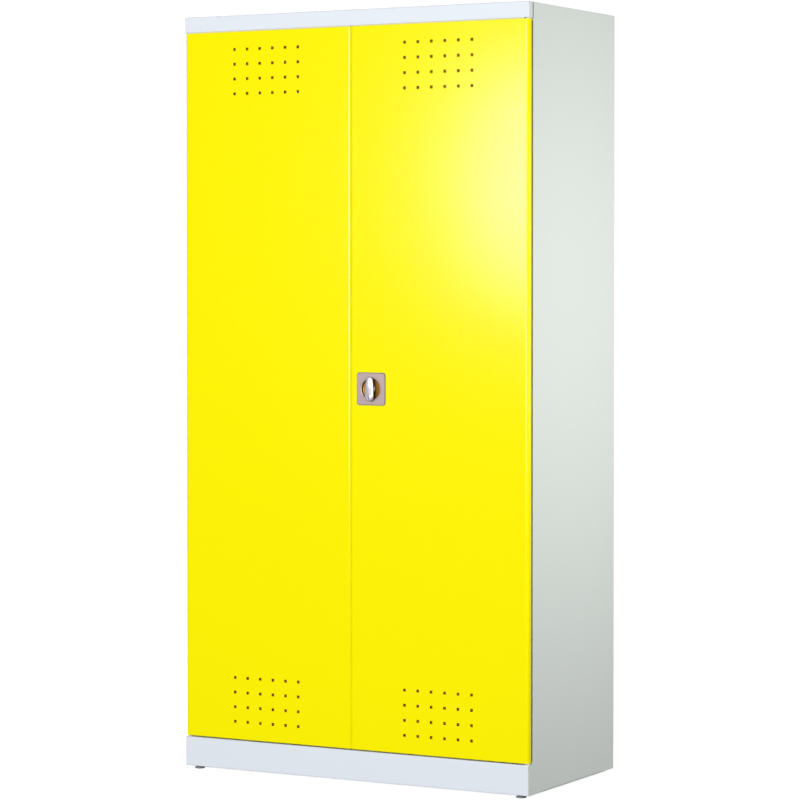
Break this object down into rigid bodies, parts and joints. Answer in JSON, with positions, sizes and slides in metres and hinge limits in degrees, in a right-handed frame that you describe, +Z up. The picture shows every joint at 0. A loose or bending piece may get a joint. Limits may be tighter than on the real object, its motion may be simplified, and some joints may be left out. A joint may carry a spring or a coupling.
{
  "type": "flammable storage cabinet",
  "caption": "Tall two-door steel storage cabinet with vented yellow doors, a swing handle with a three-point lock, spill-tray shelves and a sump tray on levelling feet.",
  "frame": {"origin": "on the floor under the middle of the overall box, which reaches from the handle's front to the back panel", "axes": "+Z up, doors face -Y, +X to the right of someone who faces the doors"},
  "size_m": [1, 0.509, 1.958],
  "materials": {
    "grey_paint": "fine powder coat, satin",
    "yellow_paint": "fine powder coat, semi-gloss",
    "satin_nickel": "satin nickel plate",
    "galvanised_steel": "zinc spangle",
    "black_plastic": "moulded, matt",
    "nylon": "moulded, matt"
  },
  "bodies": {
    "carcass": {"roof_panel": "grey_paint", "plinth": "grey_paint", "back_panel": "grey_paint", "floor_panel": "grey_paint", "rear_base_rail": "grey_paint", "side_panel_left": "grey_paint", "side_panel_right": "grey_paint", "upright_front_left": "galvanised_steel", "upright_rear_left": "galvanised_steel", "upright_front_right": "galvanised_steel", "upright_rear_right": "galvanised_steel", "shelf_clip_1_front_left": "galvanised_steel", "shelf_clip_1_rear_left": "galvanised_steel", "shelf_clip_1_front_right": "galvanised_steel", "shelf_clip_1_rear_right": "galvanised_steel", "shelf_clip_2_front_left": "galvanised_steel", "shelf_clip_2_rear_left": "galvanised_steel", "shelf_clip_2_front_right": "galvanised_steel", "shelf_clip_2_rear_right": "galvanised_steel", "shelf_clip_3_front_left": "galvanised_steel", "shelf_clip_3_rear_left": "galvanised_steel", "shelf_clip_3_front_right": "galvanised_steel", "shelf_clip_3_rear_right": "galvanised_steel", "hinge_bush_upper_left": "nylon", "hinge_bush_lower_left": "nylon", "hinge_bush_upper_right": "nylon", "hinge_bush_lower_right": "nylon", "keeper_plate_upper": "galvanised_steel", "magnetic_catch_upper": "black_plastic", "keeper_plate_lower": "galvanised_steel", "magnetic_catch_lower": "black_plastic"},
    "left_door": {"door_shell_left": "yellow_paint", "door_stiffener_left": "yellow_paint", "hinge_pin_upper_left": "galvanised_steel", "hinge_pin_lower_left": "galvanised_steel", "strike_plate_upper": "galvanised_steel", "strike_plate_lower": "galvanised_steel"},
    "right_door": {"door_shell_right": "yellow_paint", "door_stiffener_right": "yellow_paint", "hinge_pin_upper_right": "galvanised_steel", "hinge_pin_lower_right": "galvanised_steel", "lock_plate": "satin_nickel", "lock_case": "galvanised_steel", "rod_guide_upper": "nylon", "rod_guide_lower": "nylon"},
    "handle": {"grip_handle": "satin_nickel", "handle_cam": "galvanised_steel"},
    "key_cylinder": {"lock_cylinder": "satin_nickel"},
    "upper_rod": {"lock_rod_upper": "galvanised_steel"},
    "lower_rod": {"lock_rod_lower": "galvanised_steel"},
    "tongue": {"latch_tongue": "galvanised_steel"},
    "shelf_1": {"shelf_tray_1": "galvanised_steel"},
    "shelf_2": {"shelf_tray_2": "galvanised_steel"},
    "shelf_3": {"shelf_tray_3": "galvanised_steel"},
    "sump": {"sump_tray": "galvanised_steel"},
    "foot_front_left": {"levelling_foot_front_left": "black_plastic"},
    "foot_rear_left": {"levelling_foot_rear_left": "black_plastic"},
    "foot_front_right": {"levelling_foot_front_right": "black_plastic"},
    "foot_rear_right": {"levelling_foot_rear_right": "black_plastic"}
  },
  "joints": [
    {"name": "left_door_hinge", "type": "hinge", "parent": "carcass", "child": "left_door", "pos_m": [-0.493, -0.2285, 1.0017], "axis": [0, 0, -1], "range_deg": [0, 110]},
    {"name": "right_door_hinge", "type": "hinge", "parent": "carcass", "child": "right_door", "pos_m": [0.493, -0.2285, 1.0017], "axis": [0, 0, 1], "range_deg": [0, 110]},
    {"name": "handle_turn", "type": "hinge", "parent": "right_door", "child": "handle", "pos_m": [0.0565, -0.2405, 1.0017], "axis": [0, -1, 0], "range_deg": [0, 90]},
    {"name": "key_turn", "type": "hinge", "parent": "handle", "child": "key_cylinder", "pos_m": [0.0565, -0.2405, 0.9817], "axis": [0, -1, 0], "range_deg": [0, 90]},
    {"name": "upper_rod_slide", "type": "slide", "parent": "right_door", "child": "upper_rod", "axis": [0, 0, 1], "range_m": [0, 0.019]},
    {"name": "lower_rod_slide", "type": "slide", "parent": "right_door", "child": "lower_rod", "axis": [0, 0, -1], "range_m": [0, 0.019]},
    {"name": "tongue_slide", "type": "slide", "parent": "right_door", "child": "tongue", "axis": [-1, 0, 0], "range_m": [0, 0.019]},
    {"name": "shelf_1_lift", "type": "slide", "parent": "carcass", "child": "shelf_1", "axis": [0, 0, 1], "range_m": [0, 0.03]},
    {"name": "shelf_2_lift", "type": "slide", "parent": "carcass", "child": "shelf_2", "axis": [0, 0, 1], "range_m": [0, 0.03]},
    {"name": "shelf_3_lift", "type": "slide", "parent": "carcass", "child": "shelf_3", "axis": [0, 0, 1], "range_m": [0, 0.03]},
    {"name": "sump_lift", "type": "slide", "parent": "carcass", "child": "sump", "axis": [0, 0, 1], "range_m": [0, 0.03]},
    {"name": "foot_front_left_turn", "type": "hinge", "parent": "carcass", "child": "foot_front_left", "pos_m": [-0.47, -0.2205, 0], "axis": [0, 0, 1], "continuous": true},
    {"name": "foot_rear_left_turn", "type": "hinge", "parent": "carcass", "child": "foot_rear_left", "pos_m": [-0.455, 0.2265, 0], "axis": [0, 0, 1], "continuous": true},
    {"name": "foot_front_right_turn", "type": "hinge", "parent": "carcass", "child": "foot_front_right", "pos_m": [0.47, -0.2205, 0], "axis": [0, 0, 1], "continuous": true},
    {"name": "foot_rear_right_turn", "type": "hinge", "parent": "carcass", "child": "foot_rear_right", "pos_m": [0.455, 0.2265, 0], "axis": [0, 0, 1], "continuous": true}
  ],
  "couplings": [
    {"joint": "upper_rod_slide", "follows": "handle_turn", "m_per_rad": 0.011974},
    {"joint": "lower_rod_slide", "follows": "handle_turn", "m_per_rad": 0.011974},
    {"joint": "tongue_slide", "follows": "handle_turn", "m_per_rad": 0.011974}
  ]
}
